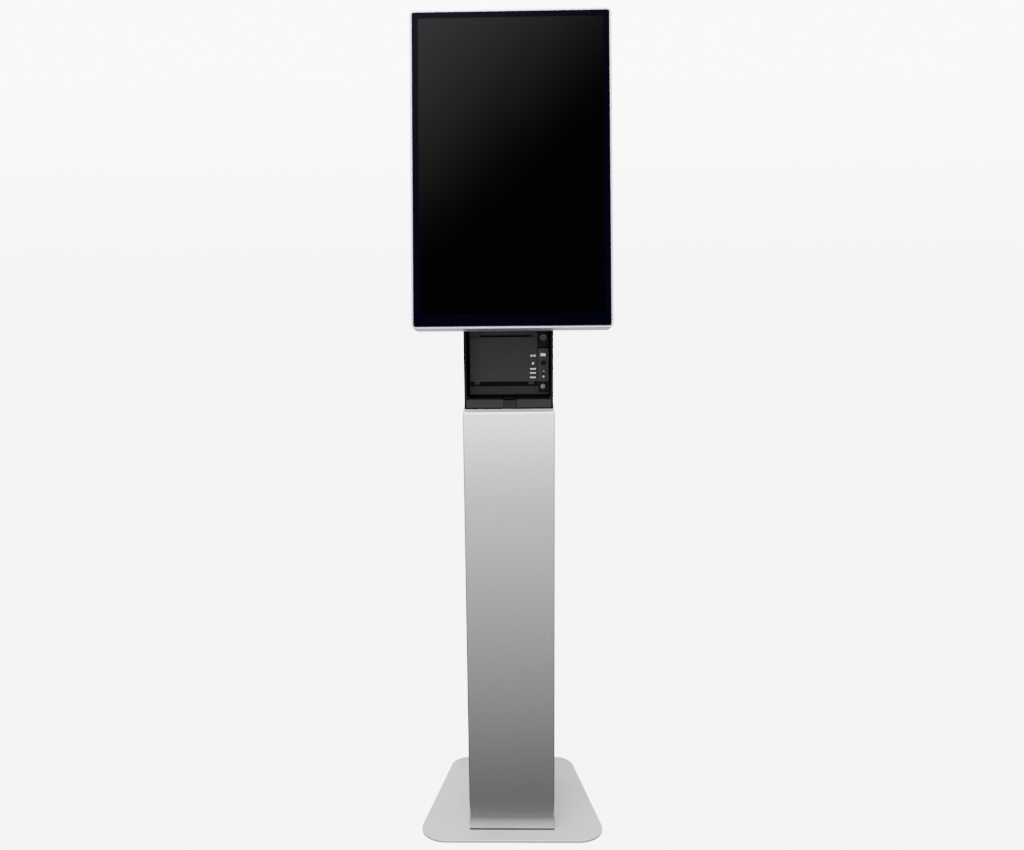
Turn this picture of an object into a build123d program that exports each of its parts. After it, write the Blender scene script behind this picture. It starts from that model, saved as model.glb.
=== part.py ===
from build123d import *
import os
from math import cos, pi, radians, sin, tan

os.makedirs("parts", exist_ok=True)
CUT = Mode.SUBTRACT

# Frame: origin at the middle of the base plate's underside, +Z up, the screen faces -Y, +X is to
# the right of a person who stands in front of the kiosk. All sizes are in millimetres.

# ---- Driving dimensions ------------------------------------------------------------------
# Base plate
plate_front_width = 345.0
plate_back_width = 230.0
plate_depth = 300.0
plate_thickness = 5.0
pad_thickness = 1.0
front_corner = 45.0
back_corner = 37.0

# Column
column_width = 154.0
column_depth = 190.0
column_setback = 36.0
ledge_height = 774.5
ledge_depth = 28.0
sheet = 2.0
foot_gap = 2.0

# Display
glass_width = 317.0
glass_height = 505.0
glass_thickness = 3.0
rim = 3.0
display_depth = 50.0
display_tilt = 13.0
display_shift = 7.0
display_overhang = 45.0
glass_bottom = 923.7

# Printer and its bay
printer_left = -66.0
printer_right = 68.5
printer_setback = 58.0
printer_depth = 118.0
printer_bottom = 793.5
printer_top = 903.5
strip_left = 49.6
bay_front_flange = 4.5

# ---- Places worked out from them ------------------------------------------------------------
plate_top = pad_thickness + plate_thickness
column_front = -plate_depth / 2 + column_setback
column_back = column_front + column_depth
half_column = column_width / 2
frame_half = half_column - sheet
inner_half = frame_half - sheet
foot_top = plate_top + 4.0
ledge_back = column_front + ledge_depth
bay_front = ledge_back + 1.0
flange_width = 14.0
opening_half = frame_half - flange_width
panel_half = opening_half - 0.5
panel_front = column_back - sheet

tilt = radians(display_tilt)
back_up = tan(tilt)
display_plane = Plane(
    origin=(display_shift, column_front - display_overhang, glass_bottom),
    x_dir=(1, 0, 0),
    z_dir=(0, -cos(tilt), sin(tilt)),
)
display_back_plane = display_plane.offset(-display_depth)
vesa_height = glass_height / 2
printer_front = column_front + printer_setback
printer_back = printer_front + printer_depth


def back_of_display(z):
    """Y of the display's back face at height z."""
    start = display_back_plane.origin
    return start.Y + (z - start.Z) * back_up


# ---- Helpers ----------------------------------------------------------------------------------
def save(piece, label):
    """Name a finished piece and write it as one STEP file."""
    piece.label = label
    export_step(piece, f"parts/{label}.step")


def block(x, y, z, mode=Mode.ADD):
    """Add or cut a box given by its (low, high) limits on each axis."""
    middle = ((x[0] + x[1]) / 2, (y[0] + y[1]) / 2, (z[0] + z[1]) / 2)
    with Locations(middle):
        Box(x[1] - x[0], y[1] - y[0], z[1] - z[0], mode=mode)


def rod_x(y, z, radius, x, mode=Mode.ADD):
    """Add or cut a round bar along X."""
    with BuildSketch(Plane.YZ.offset(x[0])) as disc:
        with Locations((y, z)):
            Circle(radius)
    extrude(disc.sketch, amount=x[1] - x[0], mode=mode)


def rod_y(x, z, radius, y, mode=Mode.ADD):
    """Add or cut a round bar along Y, from its front end to its back end."""
    with BuildSketch(Plane.XZ.offset(-y[0])) as disc:
        with Locations((x, z)):
            Circle(radius)
    extrude(disc.sketch, amount=-(y[1] - y[0]), mode=mode)


def rod_z(x, y, radius, z, mode=Mode.ADD):
    """Add or cut a round bar along Z."""
    with BuildSketch(Plane.XY.offset(z[0])) as disc:
        with Locations((x, y)):
            Circle(radius)
    extrude(disc.sketch, amount=z[1] - z[0], mode=mode)


# ---- Base -------------------------------------------------------------------------------------
anchor_x = 45.0
anchor_y = (-55.0, 55.0)
anchor_radius = 5.5
foot_bolt_x = 62.0
foot_bolt_y = (-96.0, 60.0)
foot_y = (column_front + 6, column_back - 6)

with BuildPart() as base_plate:
    with BuildSketch(Plane.XY.offset(pad_thickness)):
        with BuildLine():
            Polyline(
                (-plate_front_width / 2, -plate_depth / 2),
                (plate_front_width / 2, -plate_depth / 2),
                (plate_back_width / 2, plate_depth / 2),
                (-plate_back_width / 2, plate_depth / 2),
                close=True,
            )
        make_face()
        fillet(vertices().group_by(Axis.Y)[0], front_corner)
        fillet(vertices().group_by(Axis.Y)[-1], back_corner)
    extrude(amount=plate_thickness)
    chamfer(faces().sort_by(Axis.Z)[-1].edges(), 0.8)
    for y in anchor_y:
        for x in (-anchor_x, anchor_x):
            rod_z(x, y, anchor_radius, (0, plate_top), CUT)
    for y in foot_bolt_y:
        for x in (-foot_bolt_x, foot_bolt_x):
            rod_z(x, y, 4.2, (0, plate_top), CUT)
save(base_plate.part, "base_plate")

with BuildPart() as base_pads:
    for x, y in ((-125, -105), (125, -105), (-85, 115), (85, 115), (0, -125), (0, 125), (0, 0)):
        rod_z(x, y, 14, (0, pad_thickness))
save(base_pads.part, "base_pads")

with BuildPart() as column_foot:
    block((-inner_half, inner_half), foot_y, (plate_top, foot_top))
    fillet(edges().filter_by(Axis.Z), 4)
    for y in anchor_y:
        for x in (-anchor_x, anchor_x):
            rod_z(x, y, anchor_radius, (plate_top, foot_top), CUT)
    for y in foot_bolt_y:
        for x in (-foot_bolt_x, foot_bolt_x):
            rod_z(x, y, 4.2, (plate_top, foot_top), CUT)
save(column_foot.part, "column_foot")

with BuildPart() as foot_bolts:
    for y in foot_bolt_y:
        for x in (-foot_bolt_x, foot_bolt_x):
            rod_z(x, y, 4.0, (pad_thickness + 0.5, foot_top))
            with BuildSketch(Plane.XY.offset(foot_top)):
                with Locations((x, y)):
                    RegularPolygon(radius=7.5, side_count=6)
            extrude(amount=5.5)
save(foot_bolts.part, "foot_bolts")

# ---- Frame side plates ----------------------------------------------------------------------------
bay_floor_top = 772.0
neck_base = 955.0
neck_top = 1222.0
neck_front_start = 1005.0
neck_top_back = 5.0
bracket_bolt_along = (210.0, 290.0)
bracket_bolt_depth = 18.0
lock_x = 44.0
lock_z = 424.0
keeper_y = panel_front - 9.8


def on_display(along, behind):
    """World (y, z) of a point given up the glass and behind the display's back face."""
    point = display_plane.from_local_coords((0, along, -display_depth - behind))
    return point.Y, point.Z


def frame_side(side, label):
    """One folded side plate: side is -1 for the left one and 1 for the right one."""
    outer = side * frame_half
    inner = side * inner_half
    with BuildPart() as plate:
        with BuildSketch(Plane.YZ.offset(min(outer, inner))):
            with BuildLine():
                Polyline(
                    (column_front + 4, foot_top),
                    (column_front + 4, bay_floor_top - 2),
                    (bay_front, bay_floor_top - 2),
                    (bay_front, neck_front_start),
                    (back_of_display(neck_top) + 3, neck_top),
                    (neck_top_back, neck_top),
                    (column_back, neck_base),
                    (column_back, foot_top),
                    close=True,
                )
            make_face()
        extrude(amount=sheet)
        across = sorted((outer, side * (frame_half - flange_width)))
        block(across, (panel_front, column_back), (foot_top, neck_base))
        block(across, (column_front + 4, column_front + 6), (foot_top, bay_floor_top - 4))
        narrow = sorted((outer, side * (frame_half - bay_front_flange)))
        block(narrow, (bay_front, bay_front + sheet), (bay_floor_top - 2, neck_front_start - 10))
        if side > 0:
            block((inner_half - 7, inner_half), (keeper_y, panel_front), (lock_z - 9, lock_z + 9))
        for along in bracket_bolt_along:
            y, z = on_display(along, bracket_bolt_depth)
            rod_x(y, z, 3.2, sorted((outer, inner)), CUT)
    save(plate.part, label)


frame_side(-1, "frame_side_left")
frame_side(1, "frame_side_right")

# ---- Silver column cover --------------------------------------------------------------------------
cover_bottom = plate_top + foot_gap
with BuildPart() as column_cover:
    block((-half_column, half_column), (column_front, column_back), (cover_bottom, ledge_height))
    fillet(edges().filter_by(Axis.Z).group_by(Axis.Y)[0], 3)
    fillet(faces().sort_by(Axis.Y)[0].edges().sort_by(Axis.Z)[-1], 2.5)
    block((-frame_half, frame_half), (column_front + sheet, column_back),
          (cover_bottom, ledge_height - sheet), CUT)
    block((-frame_half, frame_half), (ledge_back, column_back),
          (ledge_height - 4, ledge_height), CUT)
    block((-inner_half + 1, inner_half - 1), (ledge_back - sheet, ledge_back),
          (ledge_height - 4.2, ledge_height))
save(column_cover.part, "column_cover")

# ---- Plates inside the frame ------------------------------------------------------------------------
mount_back = column_front + 16
with BuildPart() as mounting_plate:
    block((-inner_half, inner_half), (mount_back - 2, mount_back), (60, 740))
    for z in (60, 738):
        block((-inner_half, inner_half), (mount_back, mount_back + 12), (z, z + 2))
    for z in (120, 200, 500):
        block((-40, 40), (mount_back - 2, mount_back), (z - 12, z + 12), CUT)
save(mounting_plate.part, "mounting_plate")

cable_gap_y = (printer_back + 1, column_back - 3)
with BuildPart() as bay_floor:
    block((-inner_half, inner_half), (bay_front + 3, panel_front), (bay_floor_top - 2, bay_floor_top))
    block((-60, 60), (cable_gap_y[0] - 8, cable_gap_y[1]), (bay_floor_top - 2, bay_floor_top), CUT)
save(bay_floor.part, "bay_floor")

bay_roof_bottom = 911.0
with BuildPart() as bay_roof:
    block((-inner_half, inner_half), (bay_front + 3, panel_front), (bay_roof_bottom, bay_roof_bottom + 2))
    block((-60, 60), cable_gap_y, (bay_roof_bottom, bay_roof_bottom + 2), CUT)
    block((-inner_half, inner_half), (bay_front + 3, bay_front + 5),
          (bay_roof_bottom + 2, bay_roof_bottom + 14))
save(bay_roof.part, "bay_roof")


def louvres(rows, low, pitch, half_width):
    """Cut rows of long slots through a rear panel."""
    with BuildSketch(Plane.XZ.offset(-panel_front + 1)) as slots:
        for row in range(rows):
            with Locations((0, low + row * pitch)):
                SlotOverall(2 * half_width, 3.4)
    extrude(slots.sketch, amount=-sheet - 2, mode=CUT)


with BuildPart() as bay_back:
    block((-panel_half, panel_half), (panel_front, column_back), (768, 953))
    louvres(7, 880, 8, 40)
    for x in (-52, 52):
        for z in (778, 943):
            rod_y(x, z, 2.2, (panel_front, column_back), CUT)
save(bay_back.part, "bay_back")

with BuildPart() as neck_cover:
    with BuildSketch(Plane.YZ.offset(-inner_half)):
        with BuildLine():
            Polyline(
                (column_back, neck_base),
                (neck_top_back, neck_top),
                (back_of_display(neck_top) + 4, neck_top),
                (back_of_display(neck_top) + 4, neck_top - sheet),
                (neck_top_back - 1.3, neck_top - sheet),
                (column_back - 2.5, neck_base + 0.6),
                (column_back - 2.5, neck_base),
                close=True,
            )
        make_face()
    extrude(amount=2 * inner_half)
save(neck_cover.part, "neck_cover")

# ---- Rear lower panel with the mains inlet and its switch ----------------------------------------------
inlet_x = -24.0
inlet_z = 46.0
switch_x = 22.0
with BuildPart() as inlet_panel:
    block((-panel_half, panel_half), (panel_front, column_back), (12, 80))
    block((inlet_x - 14, inlet_x + 14), (panel_front, column_back), (inlet_z - 10, inlet_z + 10), CUT)
    block((switch_x - 11, switch_x + 11), (panel_front, column_back), (inlet_z - 7, inlet_z + 7), CUT)
save(inlet_panel.part, "inlet_panel")

with BuildPart() as mains_inlet:
    block((inlet_x - 13.7, inlet_x + 13.7), (column_back - 24, column_back), (inlet_z - 9.7, inlet_z + 9.7))
    block((switch_x - 10.7, switch_x + 10.7), (column_back - 16, column_back),
          (inlet_z - 6.7, inlet_z + 6.7))
    block((inlet_x - 18, switch_x + 15), (column_back, column_back + 2), (inlet_z - 13, inlet_z + 13))
    fillet(faces().sort_by(Axis.Y)[-1].edges().filter_by(Axis.X), 1)
    block((inlet_x - 12, inlet_x + 12), (column_back - 16, column_back + 2),
          (inlet_z - 8, inlet_z + 8), CUT)
    block((switch_x - 9.6, switch_x + 9.6), (column_back - 9, column_back + 2),
          (inlet_z - 5.6, inlet_z + 5.6), CUT)
    for x, z in ((-7, -2), (0, 2.5), (7, -2)):
        block((inlet_x + x - 1, inlet_x + x + 1), (column_back - 16, column_back - 5),
              (inlet_z + z - 2, inlet_z + z + 2))
save(mains_inlet.part, "mains_inlet")

rocker_angle = 9.0
rocker_pivot_y = column_back - 3.0
rocker_plane = Plane(
    origin=(switch_x, rocker_pivot_y, inlet_z),
    x_dir=(cos(radians(rocker_angle)), sin(radians(rocker_angle)), 0),
    z_dir=(0, 0, 1),
)
with BuildPart() as mains_switch:
    with BuildSketch(rocker_plane.offset(-5.2)):
        with BuildLine():
            Polyline((-8.6, -1.5), (8.6, -1.5), (8.6, 4.5), (0, 3), (-8.6, 4.5), close=True)
        make_face()
    extrude(amount=10.4)
    rod_z(switch_x, rocker_pivot_y, 1.2, (inlet_z - 5.5, inlet_z + 5.5))
save(mains_switch.part, "mains_switch")

# ---- Rear door, hinges and lock -----------------------------------------------------------------------
door_z = (83.0, 764.0)
hinge_x = -opening_half
hinge_y = column_back + 3.2
hinge_heights = (170.0, 424.0, 677.0)
knuckle_radius = 2.6
pin_radius = 1.2
cam_back = keeper_y - 0.4
cam_front = cam_back - 1.8
with BuildPart() as rear_door:
    block((-panel_half + 0.3, panel_half), (panel_front, column_back), door_z)
    for x in (-panel_half + 2.3, panel_half):
        block((x - 2, x), (panel_front - 10, panel_front), (door_z[0] + 4, door_z[1] - 4))
    louvres(9, 120, 8, 38)
    louvres(9, 665, 8, 38)
    rod_y(lock_x, lock_z, 8.2, (panel_front, column_back), CUT)
save(rear_door.part, "rear_door")


def hinge_knuckle(z, low, high):
    """One knuckle of a hinge, between two heights measured from the hinge's middle."""
    rod_z(hinge_x, hinge_y, knuckle_radius, (z + low, z + high))


knuckle_arm = knuckle_radius + 0.4
with BuildPart() as hinge_frame_leaves:
    for z in hinge_heights:
        block((hinge_x - 12.5, hinge_x - knuckle_arm), (column_back, column_back + 1.2), (z - 20, z + 20))
        for low, high in ((-20, -7), (7, 20)):
            block((hinge_x - knuckle_arm, hinge_x), (column_back, hinge_y), (z + low, z + high))
            hinge_knuckle(z, low, high)
        rod_z(hinge_x, hinge_y, pin_radius + 0.05, (z - 20, z + 20), CUT)
save(hinge_frame_leaves.part, "hinge_frame_leaves")

with BuildPart() as hinge_door_leaves:
    for z in hinge_heights:
        block((hinge_x + knuckle_arm, hinge_x + 18), (column_back, column_back + 1.2), (z - 20, z + 20))
        block((hinge_x + 1.2, hinge_x + knuckle_arm), (column_back, hinge_y), (z - 6.6, z + 6.6))
        hinge_knuckle(z, -6.6, 6.6)
        rod_z(hinge_x, hinge_y, pin_radius + 0.05, (z - 20, z + 20), CUT)
save(hinge_door_leaves.part, "hinge_door_leaves")

with BuildPart() as hinge_pins:
    for z in hinge_heights:
        rod_z(hinge_x, hinge_y, pin_radius, (z - 20, z + 20))
        rod_z(hinge_x, hinge_y, pin_radius + 0.7, (z + 20, z + 21.2))
save(hinge_pins.part, "hinge_pins")

with BuildPart() as lock_housing:
    rod_y(lock_x, lock_z, 8.0, (cam_back + 0.4, column_back))
    rod_y(lock_x, lock_z, 10.5, (column_back, column_back + 1.6))
    rod_y(lock_x, lock_z, 6.05, (cam_back, column_back + 1.6), CUT)
save(lock_housing.part, "lock_housing")

with BuildPart() as lock_barrel:
    rod_y(lock_x, lock_z, 6.0, (cam_back, column_back + 2.2))
    block((lock_x - 0.7, lock_x + 0.7), (column_back - 4, column_back + 3),
          (lock_z - 3.5, lock_z + 3.5), CUT)
save(lock_barrel.part, "lock_barrel")

with BuildPart() as lock_cam:
    with BuildSketch(Plane.XZ.offset(-cam_back)):
        with Locations((lock_x, lock_z - 9)):
            SlotOverall(32, 12, rotation=90)
    extrude(amount=cam_back - cam_front)
save(lock_cam.part, "lock_cam")

# ---- Computer, power supply ---------------------------------------------------------------------------
pc_z = (520.0, 648.0)
pc_back = mount_back + 40
fan_radius = 21.0
fan_z = (pc_z[0] + pc_z[1]) / 2
with BuildPart() as computer:
    block((-62, 62), (mount_back, pc_back), pc_z)
    fillet(edges().filter_by(Axis.Y), 6)
    chamfer(faces().sort_by(Axis.Y)[-1].edges(), 1)
    rod_y(0, fan_z, fan_radius + 1.5, (pc_back - 12, pc_back), CUT)
    with BuildSketch(Plane.XZ.offset(-pc_back)):
        for x in (-45, 45):
            with Locations((x, fan_z)):
                with GridLocations(0, 6, 1, 9):
                    SlotOverall(22, 2.4)
    extrude(amount=3, mode=CUT)
save(computer.part, "computer")

with BuildPart() as computer_fan:
    rod_y(0, fan_z, 9, (pc_back - 11, pc_back - 2.5))
    with BuildSketch(Plane.XZ.offset(-(pc_back - 10))):
        with Locations((0, fan_z)):
            with PolarLocations(13.4, 7):
                Rectangle(14.5, 3.0, rotation=35)
    extrude(amount=-6)
save(computer_fan.part, "computer_fan")

supply_z = (300.0, 460.0)
supply_back = mount_back + 38
with BuildPart() as power_supply:
    block((-48, 48), (mount_back, supply_back), supply_z)
    fillet(edges().filter_by(Axis.Z).group_by(Axis.Y)[-1], 2)
    with BuildSketch(Plane.XZ.offset(-supply_back)):
        with Locations((0, 380)):
            with GridLocations(10, 12, 7, 9):
                RegularPolygon(radius=3.4, side_count=6)
    extrude(amount=1.5, mode=CUT)
save(power_supply.part, "power_supply")

# ---- Display, in its own tilted frame ----------------------------------------------------------------
def slab(x, along, behind, radius=0, mode=Mode.ADD):
    """Box in the display's frame: x across, along up the glass, behind its front face."""
    with BuildSketch(display_plane.offset(-behind[0])) as outline:
        with Locations(((x[0] + x[1]) / 2, (along[0] + along[1]) / 2)):
            if radius:
                RectangleRounded(x[1] - x[0], along[1] - along[0], radius)
            else:
                Rectangle(x[1] - x[0], along[1] - along[0])
    extrude(outline.sketch, amount=behind[0] - behind[1], mode=mode)


def peg(x, along, radius, behind, mode=Mode.ADD):
    """Round bar square to the glass, in the display's frame."""
    with BuildSketch(display_plane.offset(-behind[0])) as disc:
        with Locations((x, along)):
            Circle(radius)
    extrude(disc.sketch, amount=behind[0] - behind[1], mode=mode)


half_glass = glass_width / 2
glass_fit = 0.2
active_width = 296.1
active_height = 473.8
active_low = 20.6
lcd_margin = 3.0
vesa_spots = [(x, vesa_height + a) for x in (-50, 50) for a in (-50, 50)]
button_spot = (-132.0, 26.0)
column_x = -display_shift

with BuildPart() as display_housing:
    slab((-half_glass - rim, half_glass + rim), (-rim, glass_height + rim), (0.3, display_depth), 8)
    fillet(faces().sort_by(Axis.Y)[0].edges(), 1.6)
    slab((-half_glass - glass_fit, half_glass + glass_fit), (-glass_fit, glass_height + glass_fit),
         (0, glass_thickness + glass_fit), 4.2, CUT)
    slab((-half_glass + 6, half_glass - 6), (6, glass_height - 6), (0, 6), 3, CUT)
    slab((-half_glass, half_glass), (0, glass_height), (5.2, display_depth), 5, CUT)
save(display_housing.part, "display_housing")

with BuildPart() as cover_glass:
    slab((-half_glass, half_glass), (0, glass_height), (0, glass_thickness), 4)
    chamfer(faces().sort_by(Axis.Y)[0].edges(), 0.4)
save(cover_glass.part, "cover_glass")

with BuildPart() as lcd_panel:
    slab((-active_width / 2 - lcd_margin, active_width / 2 + lcd_margin),
         (active_low - lcd_margin, active_low + active_height + lcd_margin), (3.2, 12.5))
save(lcd_panel.part, "lcd_panel")

with BuildPart() as display_back:
    slab((-half_glass + 0.3, half_glass - 0.3), (0.3, glass_height - 0.3),
         (display_depth - 2.4, display_depth), 5)
    for x, along in vesa_spots:
        peg(x, along, 2.2, (display_depth - 3, display_depth + 1), CUT)
    peg(*button_spot, 4.3, (display_depth - 3, display_depth + 1), CUT)
    slab((column_x - 52, column_x + 52), (128, 150), (display_depth - 3, display_depth + 1), 0, CUT)
    with BuildSketch(display_back_plane):
        with Locations((0, 440), (0, 62)):
            with GridLocations(26, 9, 10, 6):
                SlotOverall(21, 3.2)
    extrude(amount=4, both=True, mode=CUT)
save(display_back.part, "display_back")

with BuildPart() as display_board:
    slab((-95, 80), (165, 300), (30, 31.6), 3)
    for x, along, size in ((-70, 195, 14), (-40, 200, 10), (55, 205, 16), (60, 270, 12), (-60, 275, 18)):
        slab((x - size / 2, x + size / 2), (along - size / 2, along + size / 2), (31.6, 34))
    slab((column_x - 40, column_x + 40), (146, 166), (30, 31.6))
    slab((column_x - 50, column_x + 50), (130, 148), (30, display_depth))
    for x in (-4, 42):
        peg(column_x + x, 139, 1.8, (display_depth - 5, display_depth + 1), CUT)
save(display_board.part, "display_board")

with BuildPart() as board_heatsink:
    slab((-28, 28), (220, 284), (31.6, 34.5))
    for fin in range(11):
        x = -27 + fin * 5.25
        slab((x, x + 1.5), (220, 284), (34.5, 44))
save(board_heatsink.part, "board_heatsink")

with BuildPart() as speakers:
    for middle in (-115, 115):
        slab((middle - 26, middle + 26), (10, 38), (18, 42), 3)
        peg(middle, 24, 11, (18, 21), CUT)
        peg(middle, 24, 4, (18.8, 21))
save(speakers.part, "speakers")

with BuildPart() as display_button:
    peg(*button_spot, 4.0, (display_depth - 4, display_depth + 1.5))
    peg(*button_spot, 6.0, (display_depth - 5.2, display_depth - 4))
save(display_button.part, "display_button")

bracket_thickness = 3.0
bracket_behind = display_depth + bracket_thickness
bracket_half = inner_half
with BuildPart() as display_bracket:
    slab((column_x - bracket_half, column_x + bracket_half), (194, 309), (display_depth, bracket_behind))
    for x in (column_x - bracket_half, column_x + bracket_half - 2):
        slab((x, x + 2), (198, 302), (bracket_behind, bracket_behind + 30))
    for x, along in vesa_spots:
        peg(x, along, 2.2, (display_depth - 1, bracket_behind + 1), CUT)
    slab((column_x - 32, column_x + 32), (222, 282), (display_depth - 1, bracket_behind + 1), 5, CUT)
    for along in bracket_bolt_along:
        y, z = on_display(along, bracket_bolt_depth)
        rod_x(y, z, 3.2, (-inner_half, inner_half), CUT)
save(display_bracket.part, "display_bracket")

with BuildPart() as vesa_screws:
    for x, along in vesa_spots:
        peg(x, along, 2.0, (display_depth - 6, bracket_behind))
        peg(x, along, 4.0, (bracket_behind, bracket_behind + 2.4))
        peg(x, along, 1.3, (bracket_behind + 1, bracket_behind + 2.4), CUT)
save(vesa_screws.part, "vesa_screws")

with BuildPart() as bracket_bolts:
    for along in bracket_bolt_along:
        y, z = on_display(along, bracket_bolt_depth)
        for side in (-1, 1):
            rod_x(y, z, 3.0, sorted((side * (inner_half - 5), side * frame_half)))
            rod_x(y, z, 5.4, sorted((side * frame_half, side * (frame_half + 3))))
            rod_x(y, z, 1.8, sorted((side * (frame_half + 1), side * (frame_half + 3))), CUT)
save(bracket_bolts.part, "bracket_bolts")

# ---- Printer tray and its slides ----------------------------------------------------------------------
tray_top = printer_bottom - 2.5
rail_front = ledge_back - 1.3
rail_back = rail_front + sheet
rail_z = (777.0, 790.4)
rail_half = 71.0
latch_x = (-8.8, 13.4)
latch_middle = (latch_x[0] + latch_x[1]) / 2
slide_z = (779.2, 786.8)
slide_y = (bay_front + 5, 60.0)

with BuildPart() as slide_channels:
    for side in (-1, 1):
        block(sorted((side * (inner_half - 1.4), side * inner_half)), slide_y,
              (slide_z[0] - 1.7, slide_z[1] + 1.7))
        for z in (slide_z[0] - 1.7, slide_z[1] + 0.5):
            block(sorted((side * 67.2, side * inner_half)), slide_y, (z, z + 1.2))
save(slide_channels.part, "slide_channels")

with BuildPart() as slide_runners:
    for side in (-1, 1):
        block(sorted((side * 66.2, side * 69.2)), (slide_y[0] + 1, slide_y[1] - 1), slide_z)
        for y in (-70, -20, 30):
            rod_x(y, sum(slide_z) / 2, 3, sorted((side * 69.2, side * 70.2)))
save(slide_runners.part, "slide_runners")

with BuildPart() as printer_tray:
    block((-66.2, 66.2), (rail_back, printer_back + 2), (tray_top - 2, tray_top))
    for side in (-1, 1):
        block(sorted((side * 64.6, side * 66.2)), (rail_back + 4, printer_back + 2),
              (rail_z[0], tray_top - 2))
    block((-rail_half, rail_half), (rail_front, rail_back), rail_z)
    block((latch_x[0] - 0.5, latch_x[1] + 0.5), (rail_front - 1, rail_back + 10),
          (rail_z[0] + 1.4, tray_top + 1), CUT)
    block((-50, 50), (printer_back - 30, printer_back - 6), (tray_top - 3, tray_top), CUT)
save(printer_tray.part, "printer_tray")

with BuildPart() as tray_latch:
    block(latch_x, (rail_front - 0.8, rail_back), (rail_z[0] + 1.8, rail_z[1] - 0.6))
    fillet(edges().filter_by(Axis.Z).group_by(Axis.Y)[0], 0.6)
    block((latch_middle - 7, latch_middle + 7), (rail_front - 2.4, rail_front - 0.8),
          (rail_z[1] - 4.6, rail_z[1] - 1.0))
    block((latch_middle - 5, latch_middle + 5), (rail_back, rail_back + 2.5),
          (rail_z[0] - 1.5, rail_z[1] - 4))
save(tray_latch.part, "tray_latch")

# ---- Receipt printer --------------------------------------------------------------------------------
door_right = strip_left - 0.6
slot_x = (-48.0, 38.6)
cover_z = (815.6, 892.0)
bar_top = 808.0
cover_pivot_y = printer_front + 2.0
cover_pivot_z = 812.0
roll_x = (-44.5, 35.5)
roll_y = -8.0
roll_z = 840.5
platen_y = printer_front + 12.5
platen_z = 883.0
platen_radius = 4.5
shaft_radius = 2.0
gear_x = (42.0, 46.0)
gear_module = 0.6
platen_teeth = 22
pinion_teeth = 11
pinion_y = platen_y + gear_module * (platen_teeth + pinion_teeth) / 2
feed_spot = (58.8, 847.6)
lock_spot = (59.3, 890.9)
power_spot = (58.1, 806.8)
strip_front = printer_front - 0.4
strip_back = printer_front + 2.0
cover_thickness = 2.6

with BuildPart() as printer_base:
    block((printer_left, printer_right), (printer_front, printer_back), (printer_bottom, printer_top))
    fillet(edges().filter_by(Axis.Y), 1.5)
    fillet(edges().filter_by(Axis.Z).group_by(Axis.Y)[-1], 4)
    # front: room for the roll cover and the upper bezel, and the shadow gap under them
    block((printer_left, door_right + 0.6), (printer_front, printer_front + 2.8),
          (bar_top, printer_top), CUT)
    block((printer_left + 2, door_right + 0.6), (printer_front, printer_front + 8),
          (bar_top, cover_z[0]), CUT)
    block((printer_left, door_right + 0.6), (printer_front, printer_front + 10),
          (cover_z[1] + 0.4, printer_top), CUT)
    # roll compartment, open at the front
    block((-47, 38), (printer_front, 45), (816, 890), CUT)
    block((-47, 38), (printer_front + 14, 38), (799, 816.5), CUT)
    # way for the paper, from the roll compartment up to the slot
    block((-47, 38), (printer_front, printer_front + 10), (889, cover_z[1] + 1), CUT)
    # control strip, lock recess, power recess on the right
    block((strip_left - 0.4, printer_right), (printer_front, strip_back), (815.3, 873), CUT)
    block((strip_left + 1.4, printer_right - 1.4), (printer_front, strip_back + 5.6), (817, 871), CUT)
    with BuildSketch(Plane.XZ.offset(-printer_front)):
        with BuildLine():
            Polyline((strip_left - 1.4, printer_top), (strip_left - 0.4, 886), (strip_left - 0.4, 873),
                     (printer_right, 873), (printer_right, printer_top), close=True)
        make_face()
    extrude(amount=-8, mode=CUT)
    block((strip_left + 1, printer_right - 0.8), (printer_front, printer_front + 4), (797, 815.3), CUT)
    rod_y(*power_spot, 4.6, (printer_front + 4, printer_front + 6.2), CUT)
    rod_y(*power_spot, 5.7, (printer_front + 6, printer_front + 11), CUT)
    rod_y(*lock_spot, 3.05, (printer_front + 8, printer_front + 11.2), CUT)
    # gear and motor space
    block((41, 49), (printer_front + 4, printer_front + 48), (845, 890.8), CUT)
    block((48.5, 66.5), (printer_front + 12.2, printer_front + 34), (868, 897), CUT)
    # platen shaft holes, board space
    rod_x(platen_y, platen_z, shaft_radius + 0.05, (-50, 41.5), CUT)
    block((-62, 64), (47.5, printer_back - 2), (798, 899), CUT)
    block((-20, 12), (printer_back - 3, printer_back + 1), (806, 820), CUT)
    # feet that stand on the tray
    for x in (-54, 56):
        for y in (printer_front + 14, printer_back - 34):
            rod_z(x, y, 6, (tray_top, printer_bottom + 1))
save(printer_base.part, "printer_base")

with BuildPart() as roll_cover:
    block((printer_left + 0.4, door_right), (printer_front, printer_front + cover_thickness - 0.2), cover_z)
    fillet(edges().filter_by(Axis.Y), 1.2)
    fillet(faces().sort_by(Axis.Y)[0].edges(), 0.5)
    for x in (-45.5, 34.5):
        block((x, x + 2), (printer_front + 2, printer_front + 8), (822, 868))
    block((-43.5, 34.5), (printer_front + 2, printer_front + 5), (822, 824))
    for x in (-58, 34):
        block((x, x + 9), (printer_front + 0.6, printer_front + 2.4), (cover_pivot_z, cover_z[0] + 2))
        rod_x(cover_pivot_y, cover_pivot_z, 1.9, (x, x + 9))
        rod_x(cover_pivot_y, cover_pivot_z, 1.05, (x, x + 9), CUT)
save(roll_cover.part, "roll_cover")

with BuildPart() as cover_hinge_pin:
    rod_x(cover_pivot_y, cover_pivot_z, 1.0, (printer_left + 2, door_right + 0.4))
save(cover_hinge_pin.part, "cover_hinge_pin")

with BuildPart() as thermal_head:
    block((-43, 34), (printer_front + cover_thickness - 0.2, platen_y - platen_radius - 0.4), (872, 888))
    chamfer(edges().filter_by(Axis.X).group_by(Axis.Y)[-1], 1.2)
save(thermal_head.part, "thermal_head")

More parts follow.
